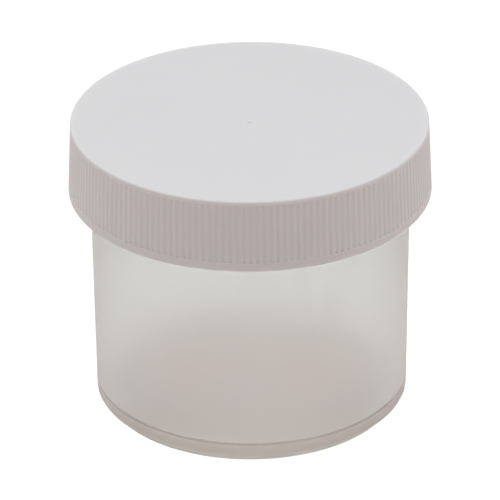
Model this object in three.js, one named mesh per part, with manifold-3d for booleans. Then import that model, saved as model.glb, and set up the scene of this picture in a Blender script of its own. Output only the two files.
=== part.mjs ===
// A small straight-sided screw jar in three pieces: a thin-walled jar, a wide screw cap with fine upright
// ribs, and the foam liner that the cap presses onto the jar's rim.
// Millimetres, +Z up. The origin is the centre of the ring that the jar stands on.

import * as THREE from 'three';
import { mergeVertices } from 'three/addons/utils/BufferGeometryUtils.js';
import Module from 'manifold-3d';

const wasm = await Module();
wasm.setup();

// Jar: a cup with a slight draft, straight-sided where the cap covers it.
const jarHeight = 45.2;
const jarFinishRadius = 24.85; // outside of the wall under the cap
const jarFinishHeight = 10; // straight-sided stretch below the rim
const jarDraft = 0.5; // how much the wall comes in from there to the base
const jarWall = 1.25;
const jarFloor = 1.4;
const jarRimRound = 0.3;
const jarBaseChamfer = 1.7; // sloped outer corner at the base
const jarBaseRound = 0.8; // softens both edges of that slope
const jarInnerRound = 0.8; // inner corner at the floor
const standRingWidth = 1.6; // flat ring that touches the table
const recessDepth = 1.9; // hollow under the floor
const recessSlope = 0.5; // how much the hollow's side leans in

// Screw thread: one start, right-handed, the same flanks on the jar and in the cap.
const threadLead = 25.4 / 6; // six threads to the inch
const threadRise = 1.25; // how far the jar's thread stands out
const threadRootWidth = 2.2;
const threadCrestWidth = 0.6;
const threadTopDrop = 1.3; // rim to the top edge of the jar's thread
const jarThreadTurns = 1.25;
const capThreadTurns = 1.25;
const capThreadFoot = 1.9; // the cap's foot to the middle of its thread's lower end
const threadRunOut = 20; // degrees over which each end fades into its wall
const threadEmbed = 0.3; // how far the ridge reaches into its wall

// Cap: a dished roof and a skirt with a slight draft, its foot a smooth band below the ribs.
const capHeight = 11.7;
const capWall = 1.8; // thickness of the skirt at its foot, through a rib
const capRoof = 1.4;
const capDraft = 0.45; // how much the skirt comes in from foot to top
const capTopRound = 0.3;
const capDish = 0.35; // how deep the roof is hollowed at its middle
const capDishFlat = 16; // radius of the hollow's flat middle
const capFootRound = 0.3; // outer and inner edge of the foot
const capRoofRound = 0.3; // inner corner under the roof
const bandHeight = 1.4;
const ribTopMargin = 0.4; // plain strip between the ribs and the rounded top edge
const ribPitch = 1.044;
const ribDepth = 0.22;
const ribCrest = 0.5; // width of a rib's flat crest
const grooveFloor = 0.24; // width at the bottom of a groove

// Moulding marks: the small nub left where the plastic entered each mould.
const capGateRadius = 0.4;
const capGateRise = 0.15;
const jarGateRadius = 1.2;
const jarGateRise = 0.3;
const gateSegments = 16;
const gateEmbed = 0.2; // how far a nub reaches into its wall
const gateTaper = 0.7; // a nub's tip as a share of its base

// Liner: a plain foam disc.
const linerThickness = 1;

// Clearances between the pieces.
const crestClearance = 0.35; // the jar's thread to the cap's inner wall
const rootClearance = 0.4; // the cap's thread to the jar's wall
const flankClearance = 0.3; // between the two threads' bearing flanks, along the axis
const linerClearance = 0.45; // the liner's edge to the cap's inner wall

// How finely round shapes are divided.
const wallSegments = 72;
const roundSteps = 3;
const cutMargin = 1; // how far a cutting shape runs past the face that it opens

const fullTurn = 2 * Math.PI;
const foot = 0; // each piece's own base plane

// Sizes that follow from the ones above.
const jarBaseRadius = jarFinishRadius - jarDraft;
const capInnerRadius = jarFinishRadius + threadRise + crestClearance;
const capFootRadius = capInnerRadius + capWall;
const capTopRadius = capFootRadius - capDraft;
const capThreadRise = threadRise + crestClearance - rootClearance;
const capUnderRoof = capHeight - capRoof;
const capFootHeight = jarHeight + linerThickness - capUnderRoof;
const linerRadius = capInnerRadius - linerClearance;
const ribCount = Math.round((fullTurn * capFootRadius) / ribPitch);
const flankSlope = (threadRootWidth - threadCrestWidth) / 2 / threadRise;

// The middle of the jar's thread at its lower end, and how far the cap's thread hangs below the jar's.
const jarThreadTop = jarHeight - threadTopDrop - threadRootWidth / 2;
const jarThreadFoot = jarThreadTop - jarThreadTurns * threadLead;
const flankOverlap = flankSlope * (threadRise + crestClearance);
const threadOffset = flankClearance + threadRootWidth - flankOverlap;

// A closed geometry as a solid that can be joined and cut.
function solid(geometry) {
  const bare = geometry.clone();
  bare.deleteAttribute('normal');
  bare.deleteAttribute('uv');
  const welded = mergeVertices(bare, 1e-4);
  const corners = welded.index.array;
  const triangles = [];
  for (let i = 0; i < corners.length; i += 3) {
    const [a, b, c] = corners.slice(i, i + 3);
    if (a !== b && b !== c && c !== a) triangles.push(a, b, c);
  }
  const vertProperties = Float32Array.from(welded.attributes.position.array);
  const triVerts = Uint32Array.from(triangles);
  return new wasm.Manifold(new wasm.Mesh({ numProp: 3, vertProperties, triVerts }));
}

// A joined solid as a named mesh with its own material.
function piece(name, shape, look) {
  const result = shape.getMesh();
  const geometry = new THREE.BufferGeometry();
  geometry.setAttribute('position', new THREE.BufferAttribute(result.vertProperties, 3));
  geometry.setIndex(new THREE.BufferAttribute(result.triVerts, 1));
  geometry.computeVertexNormals();
  const mesh = new THREE.Mesh(geometry, new THREE.MeshStandardMaterial(look));
  mesh.name = name;
  return mesh;
}

// A point of a profile: distance from the axis, and height.
function point(radius, height) {
  return new THREE.Vector2(radius, height);
}

// The points of a rounded corner about a centre, from one angle to another in degrees.
function corner(radius, height, round, from, to) {
  const start = THREE.MathUtils.degToRad(from);
  const end = THREE.MathUtils.degToRad(to);
  const arc = new THREE.EllipseCurve(radius, height, round, round, start, end, end < start);
  return arc.getPoints(roundSteps);
}

// A profile turned about the Z axis.
function turned(profile, segments) {
  const lathe = new THREE.LatheGeometry(profile, segments);
  lathe.rotateX(Math.PI / 2);
  return lathe;
}

// The nub that a mould's gate leaves: a low cone frustum on a face, its base buried in the wall. It stands up
// where facing is 1 and hangs down where it is -1.
function gateMark(radius, rise, height, facing) {
  const nub = new THREE.CylinderGeometry(radius * gateTaper, radius, rise + gateEmbed, gateSegments);
  nub.translate(0, (rise - gateEmbed) / 2, 0);
  nub.rotateX((facing * Math.PI) / 2);
  nub.translate(0, 0, height);
  return nub;
}

// A ridge wound up a helix. A straight bar is extruded with the height along X, the distance from the axis
// along Y and the angle along Z, and is then wrapped round the axis. Each end sinks into the wall.
function threadRidge(wallRadius, rise, inwards, turns, footHeight) {
  const outwards = inwards ? -1 : 1;
  const rootRadius = wallRadius - outwards * threadEmbed;
  const rootHalf = threadRootWidth / 2 + flankSlope * threadEmbed;
  const crestHalf = threadRootWidth / 2 - flankSlope * rise;
  const crestRadius = wallRadius + outwards * rise;
  const section = new THREE.Shape([
    new THREE.Vector2(-rootHalf, rootRadius),
    new THREE.Vector2(rootHalf, rootRadius),
    new THREE.Vector2(crestHalf, crestRadius),
    new THREE.Vector2(-crestHalf, crestRadius),
  ]);
  const length = turns * fullTurn;
  const steps = Math.round(turns * wallSegments);
  const ridge = new THREE.ExtrudeGeometry(section, { depth: length, steps, bevelEnabled: false });
  const runOut = THREE.MathUtils.degToRad(threadRunOut);
  const sunk = threadEmbed / (threadEmbed + rise) / 2; // the share of its height left at each end
  const vertices = ridge.attributes.position;
  for (let i = 0; i < vertices.count; i += 1) {
    const angle = vertices.getZ(i);
    const fade = THREE.MathUtils.smoothstep(Math.min(angle, length - angle), 0, runOut);
    const share = THREE.MathUtils.lerp(sunk, 1, fade);
    const radius = rootRadius + (vertices.getY(i) - rootRadius) * share;
    const height = footHeight + vertices.getX(i) + (threadLead * angle) / fullTurn;
    vertices.setXYZ(i, radius * Math.cos(angle), radius * Math.sin(angle), height);
  }
  return ridge;
}

function jarCup() {
  const ringRadius = jarBaseRadius - jarBaseChamfer;
  const recessRadius = ringRadius - standRingWidth;
  const floorTop = recessDepth + jarFloor;
  const finishFoot = jarHeight - jarFinishHeight;
  const edgeRun = jarBaseRound * Math.tan(fullTurn / 16); // from the slope's sharp edge to where its round ends
  const rimCentre = jarHeight - jarRimRound;
  const finishBore = jarFinishRadius - jarWall;
  const floorBore = jarBaseRadius - jarWall;
  return turned(
    [
      point(0, recessDepth),
      point(recessRadius - recessSlope, recessDepth),
      point(recessRadius, foot),
      ...corner(ringRadius - edgeRun, jarBaseRound, jarBaseRound, -90, -45),
      ...corner(jarBaseRadius - jarBaseRound, jarBaseChamfer + edgeRun, jarBaseRound, -45, 0),
      point(jarFinishRadius, finishFoot),
      ...corner(jarFinishRadius - jarRimRound, rimCentre, jarRimRound, 0, 90),
      ...corner(finishBore + jarRimRound, rimCentre, jarRimRound, 90, 180),
      point(finishBore, finishFoot),
      ...corner(floorBore - jarInnerRound, floorTop + jarInnerRound, jarInnerRound, 0, -90),
      point(0, floorTop),
    ],
    wallSegments,
  );
}

function jar() {
  const ridge = threadRidge(jarFinishRadius, threadRise, false, jarThreadTurns, jarThreadFoot);
  const gate = gateMark(jarGateRadius, jarGateRise, recessDepth, -1);
  const shape = solid(jarCup()).add(solid(ridge)).add(solid(gate));
  return piece('jar', shape, { color: '#cbc9c4', roughness: 0.42, metalness: 0 });
}

// The cap before it is hollowed: one facet for each rib, so that every crest is a clean flat.
function capBlank() {
  const dishEdge = capTopRadius - capTopRound;
  return turned(
    [
      point(0, foot),
      point(capFootRadius - capFootRound, foot),
      point(capFootRadius, capFootRound),
      ...corner(dishEdge, capHeight - capTopRound, capTopRound, 0, 90),
      point(capDishFlat, capHeight - capDish),
      point(0, capHeight - capDish),
    ],
    ribCount,
  );
}

function capHollow() {
  return turned(
    [
      point(0, foot - cutMargin),
      point(capInnerRadius + capFootRound, foot - cutMargin),
      point(capInnerRadius + capFootRound, foot),
      point(capInnerRadius, capFootRound),
      ...corner(capInnerRadius - capRoofRound, capUnderRoof - capRoofRound, capRoofRound, 0, 90),
      point(0, capUnderRoof),
    ],
    wallSegments,
  );
}

// All the grooves between the ribs as one cutting shape: a ring whose inside is the ribbed outline. It
// narrows upwards with the skirt.
function ribGrooves() {
  const pitchAngle = fullTurn / ribCount;
  const mouthWidth = (fullTurn * capFootRadius) / ribCount - ribCrest;
  const flankLean = (mouthWidth - grooveFloor) / 2 / ribDepth;
  const outside = capFootRadius + cutMargin;
  const mouthHalf = (grooveFloor / 2 + flankLean * (ribDepth + capFootRound)) / capFootRadius;
  const outer = capFootRadius + capFootRound;
  const floor = capFootRadius - ribDepth;
  const floorHalf = grooveFloor / 2 / capFootRadius;
  const outline = [];
  for (let rib = 0; rib < ribCount; rib += 1) {
    const middle = rib * pitchAngle - Math.PI / 2;
    const places = [[-mouthHalf, outer], [-floorHalf, floor], [floorHalf, floor], [mouthHalf, outer]];
    for (const [aside, radius] of places) {
      const angle = middle + aside;
      outline.push(point(radius * Math.cos(angle), radius * Math.sin(angle)));
    }
  }
  const ring = new THREE.Shape();
  ring.absarc(0, 0, outside, 0, fullTurn);
  ring.holes.push(new THREE.Path(outline));
  const top = capHeight - capTopRound - ribTopMargin;
  const grooves = new THREE.ExtrudeGeometry(ring, { depth: top - bandHeight, bevelEnabled: false });
  grooves.translate(0, 0, bandHeight);
  const skirtTop = capHeight - capTopRound;
  const vertices = grooves.attributes.position;
  for (let i = 0; i < vertices.count; i += 1) {
    const up = (vertices.getZ(i) - capFootRound) / (skirtTop - capFootRound);
    const share = 1 - (up * capDraft) / capFootRadius;
    vertices.setXY(i, vertices.getX(i) * share, vertices.getY(i) * share);
  }
  return grooves;
}

function cap() {
  const ridge = threadRidge(capInnerRadius, capThreadRise, true, capThreadTurns, capThreadFoot);
  const gate = gateMark(capGateRadius, capGateRise, capHeight - capDish, 1);
  const shell = solid(capBlank()).subtract(solid(capHollow())).subtract(solid(ribGrooves()));
  const shape = shell.add(solid(ridge)).add(solid(gate));
  return piece('cap', shape, { color: '#d9d8da', roughness: 0.5, metalness: 0 });
}

function liner() {
  const disc = turned(
    [point(0, foot), point(linerRadius, foot), point(linerRadius, linerThickness), point(0, linerThickness)],
    wallSegments,
  );
  return piece('liner', solid(disc), { color: '#f1f0eb', roughness: 0.9, metalness: 0 });
}

// The liner lies on the rim. The cap is screwed down onto the liner, so its turn follows from its height.
const seatedLiner = liner();
seatedLiner.position.z = jarHeight;

const seatedCap = cap();
seatedCap.position.z = capFootHeight;
const capThreadClimb = capFootHeight + capThreadFoot + threadOffset - jarThreadFoot;
seatedCap.rotation.z = (fullTurn * capThreadClimb) / threadLead;

const screwJar = new THREE.Group();
screwJar.add(jar(), seatedLiner, seatedCap);

export default screwJar;
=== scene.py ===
"""A small screw jar of natural polypropylene with a ribbed white cap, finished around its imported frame."""

import math

import bmesh
import bpy
from mathutils import Matrix, Vector


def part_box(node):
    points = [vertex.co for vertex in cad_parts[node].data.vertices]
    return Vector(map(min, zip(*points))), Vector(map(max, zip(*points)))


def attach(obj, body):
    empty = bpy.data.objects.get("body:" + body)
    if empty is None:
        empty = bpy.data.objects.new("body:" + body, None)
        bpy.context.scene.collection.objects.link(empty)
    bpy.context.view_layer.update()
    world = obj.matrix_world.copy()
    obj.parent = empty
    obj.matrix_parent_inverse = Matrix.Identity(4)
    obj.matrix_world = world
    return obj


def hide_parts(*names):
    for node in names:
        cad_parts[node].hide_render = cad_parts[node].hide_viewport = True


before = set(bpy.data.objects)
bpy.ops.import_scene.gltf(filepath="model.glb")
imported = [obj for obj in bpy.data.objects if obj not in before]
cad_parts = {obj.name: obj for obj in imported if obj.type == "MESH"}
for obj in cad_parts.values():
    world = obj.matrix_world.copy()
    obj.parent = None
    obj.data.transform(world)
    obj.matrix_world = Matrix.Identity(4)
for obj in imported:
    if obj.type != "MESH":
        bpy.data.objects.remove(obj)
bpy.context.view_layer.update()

scene = bpy.context.scene
scene.view_settings.view_transform = "Standard"
scene.cycles.max_bounces = 24
scene.cycles.transmission_bounces = 16
scene.cycles.diffuse_bounces = 8


# ---- Camera -----------------------------------------------------------------------------------------------
# A long lens looks down on the jar from the front, from about a metre away. It is turned by a fraction of a
# degree, as a camera held by hand is.

MM = 0.001
view_down = math.radians(27.84)
view_roll = math.radians(-0.46)
camera_distance = 1.0
aim_height = 24.83 * MM
aim_side = -0.1 * MM

camera_data = bpy.data.cameras.new("camera")
camera_data.sensor_width = 36.0
camera_data.lens = 460.4
camera_data.clip_end = 20.0
camera = bpy.data.objects.new("camera", camera_data)
scene.collection.objects.link(camera)
camera_back = Vector((0.0, -math.cos(view_down), math.sin(view_down)))
camera.location = Vector((aim_side, 0.0, aim_height)) + camera_back * camera_distance
camera_tilt = Matrix.Rotation(math.pi / 2 - view_down, 4, "X")
camera.rotation_euler = (camera_tilt @ Matrix.Rotation(view_roll, 4, "Z")).to_euler()
scene.camera = camera


# ---- Stage ------------------------------------------------------------------------------------------------
# A white table under a white light tent. The tent is brightest overhead and behind, and dimmer on the
# camera's side. The camera sees floor and tent burnt out to plain white. A painted shade stands in for the
# jar's
# own soft shadow: it is coloured into the table's glow under and just behind the jar, pink-brown in the
# middle and greyer behind, with a painted darker ring under its foot, and shows only in the jar.


def linear(colour):
    """An sRGB colour, such as "#d9d8da", as linear red, green, blue and alpha."""
    channels = [int(colour[i : i + 2], 16) / 255 for i in (1, 3, 5)]
    return (*(c / 12.92 if c <= 0.04045 else ((c + 0.055) / 1.055) ** 2.4 for c in channels), 1.0)


def add_node(tree, kind, inputs=(), **settings):
    """Adds one node. An input is given a value, or the socket or the node that feeds it."""
    node = tree.nodes.new(kind)
    for name, value in settings.items():
        setattr(node, name, value)
    for key, value in dict(inputs).items():
        socket = node.inputs[key]
        if isinstance(value, bpy.types.Node):
            value = value.outputs[0]
        if isinstance(value, bpy.types.NodeSocket):
            tree.links.new(value, socket)
        else:
            socket.default_value = value
    return node


def new_material(name):
    """An empty node material and its output node."""
    material = bpy.data.materials.new(name)
    material.use_nodes = True
    material.node_tree.nodes.clear()
    return material, add_node(material.node_tree, "ShaderNodeOutputMaterial")


floor_size = 6.0
floor_drop = 0.02 * MM  # keeps the table clear of the jar's own foot
burnt_out_floor = 1.1
burnt_out_tent = 1.05
# The shade and ring numbers below set a painted shade on the table: a pink-brown soft shadow under and behind
# the jar.
shade_width = 50 * MM
shade_length = 70 * MM
shade_back = 5 * MM
shade_blur = 0.12
shade_places = (0.18, 0.36, 0.6, 0.85)
painted_shade_colours = ("#dccac0", "#b0746f", "#b88580", "#a6a29e")
# A painted darker ring of shade under the jar's foot, centred a little behind it, multiplied into the painted
# shade.
painted_ring_back = 7.5 * MM
painted_ring_reach = 40 * MM
painted_ring_places = [place / painted_ring_reach for place in (15.5 * MM, 25 * MM, 28 * MM, 33 * MM)]
painted_ring_colours = ("#ffffff", "#8c7672", "#d8d0cc", "#f0ecea")
floor_mesh = bpy.data.meshes.new("floor")
floor_bm = bmesh.new()
bmesh.ops.create_grid(floor_bm, x_segments=1, y_segments=1, size=floor_size / 2)
floor_bm.to_mesh(floor_mesh)
floor_bm.free()
floor = bpy.data.objects.new("floor", floor_mesh)
floor.location.z = -floor_drop
scene.collection.objects.link(floor)

paper, paper_output = new_material("white_paper")
paper_tree = paper.node_tree
paper_sheet = add_node(paper_tree, "ShaderNodeBsdfDiffuse", {"Color": linear("#e8dbd7")})
paper_path = add_node(paper_tree, "ShaderNodeLightPath")
paper_place = add_node(paper_tree, "ShaderNodeTexCoord").outputs["Object"]
paper_way = add_node(
    paper_tree,
    "ShaderNodeMapping",
    {
        "Vector": paper_place,
        "Location": (0.0, shade_back, 0.0),
        "Scale": (shade_width / 2, shade_length / 2, 1.0),
    },
    vector_type="TEXTURE",
)
paper_far = add_node(paper_tree, "ShaderNodeVectorMath", {0: paper_way}, operation="LENGTH")
paper_open = add_node(
    paper_tree,
    "ShaderNodeMapRange",
    {"Value": paper_far.outputs["Value"], "From Min": 1 - shade_blur, "From Max": 1 + shade_blur},
    interpolation_type="SMOOTHSTEP",
)
paper_white = add_node(
    paper_tree, "ShaderNodeMath", {0: paper_path.outputs["Is Camera Ray"], 1: paper_open}, operation="MAXIMUM"
)
paper_across = add_node(paper_tree, "ShaderNodeSeparateXYZ", {0: paper_place})
paper_along = add_node(
    paper_tree,
    "ShaderNodeMapRange",
    {"Value": paper_across.outputs["Y"], "From Min": -shade_length / 2, "From Max": shade_length / 2},
)
# Painted shade along the table: light in front, pink-brown under the jar, greyer behind it.
paper_shade = add_node(paper_tree, "ShaderNodeValToRGB", {"Fac": paper_along})
paper_middle = add_node(
    paper_tree, "ShaderNodeVectorMath", {0: paper_place, 1: (0.0, painted_ring_back, 0.0)}, operation="DISTANCE"
)
paper_out = add_node(
    paper_tree, "ShaderNodeMapRange", {"Value": paper_middle.outputs["Value"], "From Max": painted_ring_reach}
)
paper_painted_ring = add_node(paper_tree, "ShaderNodeValToRGB", {"Fac": paper_out})
for ramp, places, colours in (
    (paper_shade, shade_places, painted_shade_colours),
    (paper_painted_ring, painted_ring_places, painted_ring_colours),
):
    stops = ramp.color_ramp.elements
    while len(stops) < len(places):
        stops.new(0.5)
    for stop, place, colour in zip(stops, places, colours):
        stop.position, stop.color = place, linear(colour)
# The painted shade and the painted ring of shade under the foot, multiplied together.
paper_painted_shade = add_node(
    paper_tree,
    "ShaderNodeMix",
    {"Factor": 1.0, 6: paper_shade.outputs["Color"], 7: paper_painted_ring.outputs["Color"]},
    data_type="RGBA",
    blend_type="MULTIPLY",
)
paper_tint = add_node(
    paper_tree,
    "ShaderNodeMix",
    {"Factor": paper_white, 6: paper_painted_shade.outputs[2], 7: linear("#fdfffa")},
    data_type="RGBA",
)
# Camera rays and rays through the jar see the table's glow with its painted shade; other rays see the plain
# sheet.
paper_seen = add_node(
    paper_tree,
    "ShaderNodeMath",
    {0: paper_path.outputs["Is Camera Ray"], 1: paper_path.outputs["Is Transmission Ray"]},
    operation="MAXIMUM",
)
paper_glow = add_node(
    paper_tree, "ShaderNodeEmission", {"Color": paper_tint.outputs[2], "Strength": burnt_out_floor}
)
paper_mix = add_node(paper_tree, "ShaderNodeMixShader", {0: paper_seen, 1: paper_sheet, 2: paper_glow})
paper_tree.links.new(paper_mix.outputs[0], paper_output.inputs["Surface"])
floor_mesh.materials.append(paper)

tent_base = 0.465
tent_rise = 0.59
tent_back = 0.40
tent_behind = 4.2
tent_cool_from = 0.3

world = bpy.data.worlds.new("light_tent")
scene.world = world
world.use_nodes = True
sky = world.node_tree
sky.nodes.clear()
sky_way = add_node(sky, "ShaderNodeTexCoord")
sky_parts = add_node(sky, "ShaderNodeSeparateXYZ", {0: sky_way.outputs["Generated"]})
sky_up = add_node(
    sky, "ShaderNodeMath", {0: sky_parts.outputs["Z"], 1: tent_rise, 2: tent_base}, operation="MULTIPLY_ADD"
)
sky_level = add_node(
    sky, "ShaderNodeMath", {0: sky_parts.outputs["Y"], 1: tent_back, 2: sky_up}, operation="MULTIPLY_ADD"
)
sky_path = add_node(sky, "ShaderNodeLightPath")
sky_back = add_node(sky, "ShaderNodeMath", {0: sky_parts.outputs["Y"], 1: 0.0}, operation="MAXIMUM")
sky_behind = add_node(
    sky, "ShaderNodeMath", {0: sky_back, 1: sky_path.outputs["Is Transmission Ray"]}, operation="MULTIPLY"
)
sky_full = add_node(
    sky, "ShaderNodeMath", {0: sky_behind, 1: tent_behind, 2: sky_level}, operation="MULTIPLY_ADD"
)
sky_side = add_node(
    sky, "ShaderNodeMapRange", {"Value": sky_parts.outputs["Y"], "From Min": -1.0, "From Max": tent_cool_from}
)
sky_tint = add_node(
    sky,
    "ShaderNodeMix",
    {"Factor": sky_side, 6: linear("#fff1eb"), 7: linear("#f7faff")},
    data_type="RGBA",
)
sky_light = add_node(sky, "ShaderNodeBackground", {"Color": sky_tint.outputs[2], "Strength": sky_full})
sky_seen = add_node(
    sky, "ShaderNodeBackground", {"Color": linear("#ffffff"), "Strength": burnt_out_tent}
)
sky_mix = add_node(
    sky, "ShaderNodeMixShader", {0: sky_path.outputs["Is Camera Ray"], 1: sky_light, 2: sky_seen}
)
add_node(sky, "ShaderNodeOutputWorld", {"Surface": sky_mix})


# ---- Jar --------------------------------------------------------------------------------------------------
# A thin cup, injection moulded from natural polypropylene: milky, satin, and clear enough to show its floor
# and far wall as soft shapes. It stands on a ring round a shallow hollow, and has a one-start screw thread.


def arc(radius, height, rounding, start, end, steps=6):
    """Profile points of a rounded corner about a centre, between two angles in degrees."""
    turns = [math.radians(start + (end - start) * i / steps) for i in range(steps + 1)]
    return [(radius + rounding * math.cos(a), height + rounding * math.sin(a)) for a in turns]


def turned(name, rows):
    """A closed mesh turned about the Z axis. Each row is a radius, a height and a number of columns."""
    bm = bmesh.new()
    rings = []
    for radius, height, columns in rows:
        if radius == 0:
            rings.append([bm.verts.new((0, 0, height))])
            continue
        steps = [math.tau * i / columns - math.pi / 2 for i in range(columns)]
        rings.append([bm.verts.new((radius * math.cos(a), radius * math.sin(a), height)) for a in steps])
    for low, high in zip(rings, rings[1:]):
        join_rings(bm, low, high)
    mesh = bpy.data.meshes.new(name)
    bm.to_mesh(mesh)
    bm.free()
    piece = bpy.data.objects.new(name, mesh)
    scene.collection.objects.link(piece)
    return piece


def join_rings(bm, low, high):
    """Faces between two rings. One ring may have several columns to each of the other's, or be one point."""
    coarse = min(len(low), len(high)) if 1 not in (len(low), len(high)) else max(len(low), len(high))
    for i in range(coarse):
        edges = []
        for ring in (low, high):
            share = max(len(ring) // coarse, 1)
            count = 1 if len(ring) == 1 else share + 1
            edges.append([ring[(i * share + k) % len(ring)] for k in range(count)])
        bm.faces.new(edges[0] + edges[1][::-1])


def keep_result(piece):
    """Makes what a piece's node tree gives its own plain mesh, smooth but for its sharp edges."""
    sharp_from = math.radians(38)
    graph = bpy.context.evaluated_depsgraph_get()
    made = bpy.data.meshes.new_from_object(piece.evaluated_get(graph))
    piece.modifiers.clear()
    piece.data = made
    made.shade_smooth()
    made.set_sharp_from_angle(angle=sharp_from)


def add_tree(piece, tree, values):
    """Gives a piece a node tree with its named inputs set."""
    modifier = piece.modifiers.new(tree.name, "NODES")
    modifier.node_group = tree
    for item in tree.interface.items_tree:
        if item.in_out == "INPUT" and item.name in values:
            modifier[item.identifier] = values[item.name]


def new_tree(name, inputs):
    """A geometry node tree with a mesh in and out, and the named inputs that are given as name: kind."""
    tree = bpy.data.node_groups.new(name, "GeometryNodeTree")
    tree.interface.new_socket("Geometry", in_out="INPUT", socket_type="NodeSocketGeometry")
    tree.interface.new_socket("Geometry", in_out="OUTPUT", socket_type="NodeSocketGeometry")
    for label, kind in inputs.items():
        tree.interface.new_socket(label, in_out="INPUT", socket_type=kind)
    return tree, add_node(tree, "NodeGroupInput").outputs


# The thread: a straight bar whose section is shaped first, and which is then wound up a helix and joined to
# the wall. Over the run-out each of its ends sinks into the wall, down to a share of its height.

thread_end_share = 0.1
thread_tree, thread_in = new_tree(
    "screw_thread",
    {
        "Wall Radius": "NodeSocketFloat",
        "Rise": "NodeSocketFloat",
        "Root Width": "NodeSocketFloat",
        "Crest Width": "NodeSocketFloat",
        "Embed": "NodeSocketFloat",
        "Lead": "NodeSocketFloat",
        "Turns": "NodeSocketFloat",
        "Foot Height": "NodeSocketFloat",
        "Start Angle": "NodeSocketFloat",
        "Run-out Turns": "NodeSocketFloat",
        "Steps": "NodeSocketInt",
        "Inwards": "NodeSocketBool",
        "Material": "NodeSocketMaterial",
    },
)
bar = add_node(
    thread_tree,
    "GeometryNodeMeshCube",
    {"Size": (1, 1, 1), "Vertices X": 2, "Vertices Y": 2, "Vertices Z": thread_in["Steps"]},
)
bar_point = add_node(thread_tree, "GeometryNodeInputPosition")
bar_place = add_node(thread_tree, "ShaderNodeSeparateXYZ", {0: bar_point})
outward = add_node(thread_tree, "ShaderNodeMath", {0: bar_place.outputs["X"], 1: 0.5}, operation="ADD")
along = add_node(thread_tree, "ShaderNodeMath", {0: bar_place.outputs["Z"], 1: 0.5}, operation="ADD")
turned_by = add_node(thread_tree, "ShaderNodeMath", {0: along, 1: thread_in["Turns"]}, operation="MULTIPLY")
turns_left = add_node(
    thread_tree, "ShaderNodeMath", {0: thread_in["Turns"], 1: turned_by}, operation="SUBTRACT"
)
end_distance = add_node(thread_tree, "ShaderNodeMath", {0: turned_by, 1: turns_left}, operation="MINIMUM")
end_share = add_node(
    thread_tree,
    "ShaderNodeMapRange",
    {"Value": end_distance, "From Max": thread_in["Run-out Turns"], "To Min": thread_end_share},
    interpolation_type="SMOOTHSTEP",
)
bar_height = add_node(
    thread_tree, "ShaderNodeMath", {0: thread_in["Rise"], 1: thread_in["Embed"]}, operation="ADD"
)
reach_full = add_node(thread_tree, "ShaderNodeMath", {0: outward, 1: bar_height}, operation="MULTIPLY")
reach = add_node(thread_tree, "ShaderNodeMath", {0: reach_full, 1: end_share}, operation="MULTIPLY")
reach_past_wall = add_node(
    thread_tree, "ShaderNodeMath", {0: reach, 1: thread_in["Embed"]}, operation="SUBTRACT"
)
side = add_node(
    thread_tree, "ShaderNodeMapRange", {"Value": thread_in["Inwards"], "To Min": 1.0, "To Max": -1.0}
)
ridge_radius = add_node(
    thread_tree,
    "ShaderNodeMath",
    {0: reach_past_wall, 1: side, 2: thread_in["Wall Radius"]},
    operation="MULTIPLY_ADD",
)
ridge_width = add_node(
    thread_tree,
    "ShaderNodeMapRange",
    {"Value": outward, "To Min": thread_in["Root Width"], "To Max": thread_in["Crest Width"]},
)
climb = add_node(
    thread_tree,
    "ShaderNodeMath",
    {0: turned_by, 1: thread_in["Lead"], 2: thread_in["Foot Height"]},
    operation="MULTIPLY_ADD",
)
ridge_height = add_node(
    thread_tree,
    "ShaderNodeMath",
    {0: bar_place.outputs["Y"], 1: ridge_width, 2: climb},
    operation="MULTIPLY_ADD",
)
ridge_angle = add_node(
    thread_tree,
    "ShaderNodeMath",
    {0: turned_by, 1: math.tau, 2: thread_in["Start Angle"]},
    operation="MULTIPLY_ADD",
)
unturned = add_node(thread_tree, "ShaderNodeCombineXYZ", {"X": ridge_radius, "Z": ridge_height})
wound = add_node(
    thread_tree, "ShaderNodeVectorRotate", {"Vector": unturned, "Angle": ridge_angle}, rotation_type="Z_AXIS"
)
ridge = add_node(thread_tree, "GeometryNodeSetPosition", {"Geometry": bar, "Position": wound})
outwards = add_node(thread_tree, "FunctionNodeBooleanMath", {0: thread_in["Inwards"]}, operation="NOT")
ridge_faced = add_node(thread_tree, "GeometryNodeFlipFaces", {"Mesh": ridge, "Selection": outwards})
threaded = add_node(thread_tree, "GeometryNodeMeshBoolean", operation="UNION", solver="EXACT")
thread_tree.links.new(ridge_faced.outputs[0], threaded.inputs["Mesh 2"])
thread_tree.links.new(thread_in["Geometry"], threaded.inputs["Mesh 2"])
thread_real = add_node(thread_tree, "GeometryNodeRealizeInstances", {"Geometry": threaded})
thread_finished = add_node(
    thread_tree, "GeometryNodeSetMaterial", {"Geometry": thread_real, "Material": thread_in["Material"]}
)
add_node(thread_tree, "NodeGroupOutput", {"Geometry": thread_finished})

thread_lead = 25.4 / 6 * MM
thread_rise = 1.25 * MM
thread_root = 2.2 * MM
thread_crest = 0.6 * MM
thread_embed = 0.3 * MM
thread_slope = (thread_root - thread_crest) / 2 / thread_rise
thread_turns = 1.25
thread_run_out = 20 / 360
thread_top_drop = 1.3 * MM
steps_per_turn = 144
thread_steps = int(thread_turns * steps_per_turn) + 1

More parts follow.
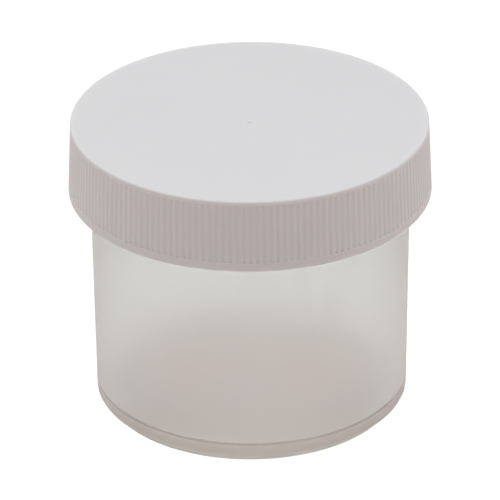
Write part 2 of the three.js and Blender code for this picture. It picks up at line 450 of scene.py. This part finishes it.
jar_low, jar_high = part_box("jar")
jar_foot, jar_rim = jar_low.z, jar_high.z
finish_radius = jar_high.x - thread_rise
finish_height = 10 * MM
finish_foot = jar_rim - finish_height
wall_taper = 0.5 * MM
base_radius = finish_radius - wall_taper
jar_wall = 1.25 * MM
floor_thickness = 1.4 * MM
recess_depth = 1.9 * MM
base_chamfer = 1.7 * MM
base_round = 0.8 * MM
ring_radius = base_radius - base_chamfer
ring_width = 1.6 * MM
recess_radius = ring_radius - ring_width
recess_lean = 0.7 * MM
recess_bend = 0.45 * MM
recess_edge = 0.1 * MM
parting_height = 3.9 * MM
parting_depth = 0.08 * MM
parting_half_width = 0.09 * MM
floor_round = 0.8 * MM
rim_round = 0.3 * MM
jar_gate_radius = 1.2 * MM
jar_gate_crown = jar_gate_radius * 0.7
jar_gate_rise = 0.3 * MM
jar_columns = 288

floor_top = jar_foot + recess_depth + floor_thickness
recess_roof = jar_foot + recess_depth
edge_run = base_round * math.tan(math.radians(22.5))


def wall_radius(height):
    """The wall's outer radius at a height above the base's slope and below the straight finish."""
    share = (height - jar_foot - base_chamfer) / (finish_foot - jar_foot - base_chamfer)
    return base_radius + (finish_radius - base_radius) * share


parting_line = [
    (wall_radius(height) - depth, height)
    for height, depth in (
        (jar_foot + parting_height - parting_half_width, 0.0),
        (jar_foot + parting_height, parting_depth),
        (jar_foot + parting_height + parting_half_width, 0.0),
    )
]
jar_profile = [
    (0, recess_roof - jar_gate_rise),
    *arc(jar_gate_crown, recess_roof - jar_gate_rise / 2, jar_gate_rise / 2, -90, 0, 3),
    (jar_gate_radius, recess_roof),
    (recess_radius - recess_lean, recess_roof),
    (recess_radius - recess_bend, recess_roof - recess_edge),
    (recess_radius - recess_edge, jar_foot + recess_edge),
    (recess_radius, jar_foot),
    *arc(ring_radius - edge_run, jar_foot + base_round, base_round, -90, -45),
    *arc(base_radius - base_round, jar_foot + base_chamfer + edge_run, base_round, -45, 0),
    *parting_line,
    (finish_radius, finish_foot),
    *arc(finish_radius - rim_round, jar_rim - rim_round, rim_round, 0, 90, 5),
    *arc(finish_radius - jar_wall + rim_round, jar_rim - rim_round, rim_round, 90, 180, 5),
    (finish_radius - jar_wall, finish_foot),
    *arc(base_radius - jar_wall - floor_round, floor_top + floor_round, floor_round, 0, -90, 8),
    (0, floor_top),
]
jar = turned("jar_cup", [(radius, height, jar_columns) for radius, height in jar_profile])

# Natural polypropylene: clear in thin sheets, clouded by its own crystals, satin from the mould's fine
# blasting. Light goes through it and comes out spread, so what lies behind shows as soft light and shade. It
# is milkiest in the thick corner where the floor meets the wall.
polypropylene_ior = 1.49
wall_milk = 0.36
corner_milk = 0.9
corner_top = floor_top + 0.4 * MM
floor_flat_radius = base_radius - jar_wall - floor_round
corner_fade = 0.25 * MM
natural_pp, natural_output = new_material("natural_polypropylene_moulded")
natural = natural_pp.node_tree
natural_place = add_node(natural, "ShaderNodeTexCoord").outputs["Object"]
flow_size = 11.0 * MM
flow = add_node(
    natural,
    "ShaderNodeTexNoise",
    {"Vector": natural_place, "Scale": 1 / flow_size, "Detail": 3.0, "Roughness": 0.5},
)
natural_colour = add_node(
    natural,
    "ShaderNodeMix",
    {"Factor": flow.outputs["Fac"], 6: linear("#fdfdfb"), 7: linear("#fefefc")},
    data_type="RGBA",
)
blast_size = 0.35 * MM
blast_depth = 0.02 * MM
blast_strength = 0.08
blast = add_node(
    natural,
    "ShaderNodeTexNoise",
    {"Vector": natural_place, "Scale": 1 / blast_size, "Detail": 2.0, "Roughness": 0.6},
)
natural_bump = add_node(
    natural,
    "ShaderNodeBump",
    {"Height": blast.outputs["Fac"], "Strength": blast_strength, "Distance": blast_depth},
)
natural_roughness = add_node(
    natural, "ShaderNodeMapRange", {"Value": flow.outputs["Fac"], "To Min": 0.21, "To Max": 0.25}
)
natural_skin = add_node(
    natural,
    "ShaderNodeBsdfPrincipled",
    {
        "Base Color": natural_colour.outputs[2],
        "Roughness": natural_roughness,
        "Normal": natural_bump,
        "IOR": polypropylene_ior,
        "Transmission Weight": 0.9,
    },
)
natural_spread = add_node(
    natural, "ShaderNodeBsdfTranslucent", {"Color": natural_colour.outputs[2], "Normal": natural_bump}
)
natural_height = add_node(natural, "ShaderNodeSeparateXYZ", {0: natural_place})
natural_low = add_node(
    natural,
    "ShaderNodeMapRange",
    {
        "Value": natural_height.outputs["Z"],
        "From Min": corner_top - corner_fade,
        "From Max": corner_top,
        "To Min": corner_milk - wall_milk,
        "To Max": 0.0,
    },
)
natural_flat = add_node(
    natural, "ShaderNodeVectorMath", {0: natural_place, 1: (1.0, 1.0, 0.0)}, operation="MULTIPLY"
)
natural_out = add_node(natural, "ShaderNodeVectorMath", {0: natural_flat}, operation="LENGTH")
natural_corner = add_node(
    natural,
    "ShaderNodeMapRange",
    {
        "Value": natural_out.outputs["Value"],
        "From Min": floor_flat_radius,
        "From Max": floor_flat_radius + corner_fade,
    },
)
natural_milk = add_node(
    natural, "ShaderNodeMath", {0: natural_low, 1: natural_corner, 2: wall_milk}, operation="MULTIPLY_ADD"
)
natural_shader = add_node(
    natural, "ShaderNodeMixShader", {0: natural_milk, 1: natural_skin, 2: natural_spread}
)
natural.links.new(natural_shader.outputs[0], natural_output.inputs["Surface"])

thread_both = {
    "Root Width": thread_root + 2 * thread_slope * thread_embed,
    "Embed": thread_embed,
    "Lead": thread_lead,
    "Turns": thread_turns,
    "Run-out Turns": thread_run_out,
    "Steps": thread_steps,
}
jar_thread_foot = jar_rim - thread_top_drop - thread_root / 2 - thread_turns * thread_lead
add_tree(
    jar,
    thread_tree,
    {
        **thread_both,
        "Wall Radius": finish_radius,
        "Rise": thread_rise,
        "Crest Width": thread_crest,
        "Foot Height": jar_thread_foot,
        "Start Angle": 0.0,
        "Inwards": False,
        "Material": natural_pp,
    },
)
keep_result(jar)
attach(jar, "jar")
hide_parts("jar")


# ---- Liner ------------------------------------------------------------------------------------------------
# A disc punched from closed-cell polyethylene foam. It lies in the cap, held by the thread's edge, and seals
# against the rim.

foam, foam_output = new_material("polyethylene_foam_closed_cell")
foam_tree = foam.node_tree
foam_place = add_node(foam_tree, "ShaderNodeTexCoord").outputs["Object"]
cell_size = 0.4 * MM
cells = add_node(foam_tree, "ShaderNodeTexVoronoi", {"Vector": foam_place, "Scale": 1 / cell_size})
foam_colour = add_node(
    foam_tree,
    "ShaderNodeMix",
    {"Factor": cells.outputs["Distance"], 6: linear("#f0efea"), 7: linear("#e2e1db")},
    data_type="RGBA",
)
foam_bump = add_node(
    foam_tree, "ShaderNodeBump", {"Height": cells.outputs["Distance"], "Strength": 0.4, "Distance": 0.05 * MM}
)
foam_shader = add_node(
    foam_tree,
    "ShaderNodeBsdfPrincipled",
    {"Base Color": foam_colour.outputs[2], "Roughness": 0.85, "Normal": foam_bump},
)
foam_tree.links.new(foam_shader.outputs[0], foam_output.inputs["Surface"])
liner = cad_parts["liner"]
liner.data.materials.clear()
liner.data.materials.append(foam)


# ---- Cap --------------------------------------------------------------------------------------------------
# A screw cap, injection moulded from white polypropylene. Its roof is slightly dished, with the nub of the
# mould's gate at the middle, and its skirt has fine upright ribs above a smooth band.

cap_low, cap_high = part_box("cap")
cap_foot, cap_top = cap_low.z, cap_high.z
foot_radius = cap_high.y
skirt_draft = 0.45 * MM
top_radius = foot_radius - skirt_draft
bore_gap = 0.35 * MM
cap_bore = finish_radius + thread_rise + bore_gap
roof_thickness = 1.4 * MM
under_roof = cap_top - roof_thickness
top_round = 0.3 * MM
roof_round = 0.3 * MM
foot_round = 0.3 * MM
roof_shares = (0.97, 0.92, 0.82, 0.66, 0.45, 0.2)
dish_depth = 0.35 * MM
dish_power = 3
cap_gate_radius = 0.4 * MM
cap_gate_crown = cap_gate_radius * 0.8
cap_gate_rise = 0.12 * MM
cap_gate_middle = cap_gate_rise * 0.8
cap_gate_columns = 20
band_height = 1.4 * MM
rib_count = 170
rib_depth = 0.12 * MM
rib_foot_depth = 0.22 * MM
rib_foot_reach = 0.6 * MM
rib_scoop = 0.08 * MM
groove_floor = 0.02
groove_mouth = 0.42
rib_top_margin = 0.4 * MM
columns_per_rib = 12
plain_columns = 2 * rib_count
fine_columns = columns_per_rib * rib_count
bore_columns = 2 * rib_count

skirt_top = cap_top - top_round
rib_foot = cap_foot + band_height
rib_top = skirt_top - rib_top_margin
foot_steps = (-0.12, -0.04, 0.0, 0.04, 0.08, 0.16, 0.26, 0.4, 0.6)
top_steps = (-0.5, -0.26, -0.08, -0.04, 0.0)


def skirt_radius(height):
    """The skirt's outer radius at a height: it narrows upwards, so that the cap leaves its mould."""
    share = (height - cap_foot - foot_round) / (skirt_top - cap_foot - foot_round)
    return foot_radius + (top_radius - foot_radius) * share


def fine_row(height):
    """A row of the skirt with enough columns to carry the ribs."""
    return (skirt_radius(height), height, fine_columns)


def plain(points, columns=plain_columns):
    """Rows without ribs through profile points."""
    return [(radius, height, columns) for radius, height in points]


roof_edge = top_radius - top_round
roof_rings = [roof_edge * share for share in roof_shares]
roof_points = [(r, cap_top - dish_depth * (1 - (r / roof_edge) ** dish_power)) for r in roof_rings]
gate_foot = cap_top - dish_depth
cap_rows = [
    *plain([(0, under_roof)], bore_columns),
    *plain(arc(cap_bore - roof_round, under_roof - roof_round, roof_round, 90, 0, 4), bore_columns),
    *plain([(cap_bore, cap_foot + foot_round)], bore_columns),
    *plain(arc(cap_bore + foot_round, cap_foot + foot_round, foot_round, 180, 270, 4), bore_columns),
    *plain(arc(foot_radius - foot_round, cap_foot + foot_round, foot_round, -90, 0, 4)),
    *(fine_row(rib_foot + step * MM) for step in foot_steps),
    fine_row((rib_foot + rib_top) / 2),
    *(fine_row(rib_top + step * MM) for step in top_steps),
    *plain(arc(roof_edge, skirt_top, top_round, 0, 90, 8)),
    *plain(roof_points),
    *plain([(cap_gate_radius, gate_foot), (cap_gate_crown, gate_foot + cap_gate_rise)], cap_gate_columns),
    (0, gate_foot + cap_gate_middle, cap_gate_columns),
]
cap = turned("screw_cap", cap_rows)

# The ribs: grooves pressed into the skirt at an even pitch, each with a scooped end above the band and
# below the rounded edge, and deeper just above the band. Only points of the outer skirt move.

rib_tree, rib_in = new_tree(
    "upright_ribs",
    {
        "Count": "NodeSocketInt",
        "Depth": "NodeSocketFloat",
        "Foot Depth": "NodeSocketFloat",
        "Foot Reach": "NodeSocketFloat",
        "Floor Share": "NodeSocketFloat",
        "Mouth Share": "NodeSocketFloat",
        "Foot Height": "NodeSocketFloat",
        "Top Height": "NodeSocketFloat",
        "Scoop": "NodeSocketFloat",
        "Inner Radius": "NodeSocketFloat",
        "Material": "NodeSocketMaterial",
    },
)
skin = add_node(rib_tree, "GeometryNodeInputPosition")
skin_place = add_node(rib_tree, "ShaderNodeSeparateXYZ", {0: skin})
skin_angle = add_node(
    rib_tree, "ShaderNodeMath", {0: skin_place.outputs["Y"], 1: skin_place.outputs["X"]}, operation="ARCTAN2"
)
skin_quarter = add_node(rib_tree, "ShaderNodeMath", {0: skin_angle, 1: math.pi / 2}, operation="ADD")
skin_share = add_node(rib_tree, "ShaderNodeMath", {0: skin_quarter, 1: math.tau}, operation="DIVIDE")
pitches = add_node(rib_tree, "ShaderNodeMath", {0: skin_share, 1: rib_in["Count"]}, operation="MULTIPLY")
from_groove = add_node(rib_tree, "ShaderNodeMath", {0: pitches, 1: 0.5}, operation="PINGPONG")
groove = add_node(
    rib_tree,
    "ShaderNodeMapRange",
    {
        "Value": from_groove,
        "From Min": rib_in["Mouth Share"],
        "From Max": rib_in["Floor Share"],
    },
    interpolation_type="SMOOTHSTEP",
)
above_foot = add_node(
    rib_tree,
    "ShaderNodeMath",
    {0: skin_place.outputs["Z"], 1: rib_in["Foot Height"]},
    operation="SUBTRACT",
)
below_top = add_node(
    rib_tree, "ShaderNodeMath", {0: rib_in["Top Height"], 1: skin_place.outputs["Z"]}, operation="SUBTRACT"
)
from_end = add_node(rib_tree, "ShaderNodeMath", {0: above_foot, 1: below_top}, operation="MINIMUM")
ended = add_node(
    rib_tree,
    "ShaderNodeMapRange",
    {"Value": from_end, "From Max": rib_in["Scoop"]},
    interpolation_type="SMOOTHSTEP",
)
press = add_node(rib_tree, "ShaderNodeMath", {0: groove, 1: ended}, operation="MULTIPLY")
groove_depth = add_node(
    rib_tree,
    "ShaderNodeMapRange",
    {
        "Value": above_foot,
        "From Max": rib_in["Foot Reach"],
        "To Min": rib_in["Foot Depth"],
        "To Max": rib_in["Depth"],
    },
    interpolation_type="SMOOTHSTEP",
)
press_depth = add_node(rib_tree, "ShaderNodeMath", {0: press, 1: groove_depth}, operation="MULTIPLY")
level = add_node(
    rib_tree,
    "ShaderNodeCombineXYZ",
    {"X": skin_place.outputs["X"], "Y": skin_place.outputs["Y"]},
)
skin_radius = add_node(rib_tree, "ShaderNodeVectorMath", {0: level}, operation="LENGTH")
outer_skin = add_node(
    rib_tree,
    "FunctionNodeCompare",
    {0: skin_radius.outputs["Value"], 1: rib_in["Inner Radius"]},
    data_type="FLOAT",
    operation="GREATER_THAN",
)
inward = add_node(rib_tree, "ShaderNodeVectorMath", {0: level}, operation="NORMALIZE")
inward_depth = add_node(rib_tree, "ShaderNodeMath", {0: press_depth, 1: -1.0}, operation="MULTIPLY")
push = add_node(rib_tree, "ShaderNodeVectorMath", {0: inward, 3: inward_depth}, operation="SCALE")
ribbed = add_node(
    rib_tree,
    "GeometryNodeSetPosition",
    {"Geometry": rib_in["Geometry"], "Selection": outer_skin, "Offset": push},
)
rib_real = add_node(rib_tree, "GeometryNodeRealizeInstances", {"Geometry": ribbed})
rib_finished = add_node(
    rib_tree, "GeometryNodeSetMaterial", {"Geometry": rib_real, "Material": rib_in["Material"]}
)
add_node(rib_tree, "NodeGroupOutput", {"Geometry": rib_finished})

# White polypropylene: the same plastic with a white pigment. It hides what is behind it, but light still
# creeps a little way through it, which softens the ribs' shadows.
white_pp, white_output = new_material("white_polypropylene_moulded")
white = white_pp.node_tree
white_place = add_node(white, "ShaderNodeTexCoord").outputs["Object"]
white_flow_size = 9.0 * MM
white_flow = add_node(
    white, "ShaderNodeTexNoise", {"Vector": white_place, "Scale": 1 / white_flow_size, "Detail": 3.0}
)
white_colour = add_node(
    white,
    "ShaderNodeMix",
    {"Factor": white_flow.outputs["Fac"], 6: linear("#e9e9e8"), 7: linear("#ececeb")},
    data_type="RGBA",
)
white_blast = add_node(
    white, "ShaderNodeTexNoise", {"Vector": white_place, "Scale": 1 / blast_size, "Detail": 2.0}
)
white_bump = add_node(
    white,
    "ShaderNodeBump",
    {"Height": white_blast.outputs["Fac"], "Strength": blast_strength, "Distance": blast_depth},
)
white_roughness = add_node(
    white, "ShaderNodeMapRange", {"Value": white_flow.outputs["Fac"], "To Min": 0.40, "To Max": 0.50}
)
white_shader = add_node(
    white,
    "ShaderNodeBsdfPrincipled",
    {
        "Base Color": white_colour.outputs[2],
        "Roughness": white_roughness,
        "Normal": white_bump,
        "IOR": polypropylene_ior,
        "Subsurface Weight": 1.0,
        "Subsurface Radius": (1.0, 0.9, 0.85),
        "Subsurface Scale": 0.8 * MM,
    },
)
white.links.new(white_shader.outputs[0], white_output.inputs["Surface"])

add_tree(
    cap,
    rib_tree,
    {
        "Count": rib_count,
        "Depth": rib_depth,
        "Foot Depth": rib_foot_depth,
        "Foot Reach": rib_foot_reach,
        "Floor Share": groove_floor,
        "Mouth Share": groove_mouth,
        "Foot Height": rib_foot,
        "Top Height": rib_top,
        "Scoop": rib_scoop,
        "Inner Radius": (cap_bore + top_radius) / 2,
        "Material": white_pp,
    },
)

# The cap's thread: its crest stays clear of the jar's wall, and it starts at the angle that keeps its upper
# flank just under the lower flank of the jar's thread.

crest_gap = 0.4 * MM
flank_gap = 0.3 * MM
cap_thread_lift = 1.9 * MM
cap_thread_rise = thread_rise + bore_gap - crest_gap
cap_thread_foot = cap_foot + cap_thread_lift
thread_offset = flank_gap + thread_root - thread_slope * (cap_bore - finish_radius)
thread_climb = cap_thread_foot + thread_offset - jar_thread_foot
add_tree(
    cap,
    thread_tree,
    {
        **thread_both,
        "Wall Radius": cap_bore,
        "Rise": cap_thread_rise,
        "Crest Width": thread_root - 2 * thread_slope * cap_thread_rise,
        "Foot Height": cap_thread_foot,
        "Start Angle": math.tau * thread_climb / thread_lead,
        "Inwards": True,
        "Material": white_pp,
    },
)
keep_result(cap)
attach(cap, "cap")
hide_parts("cap")
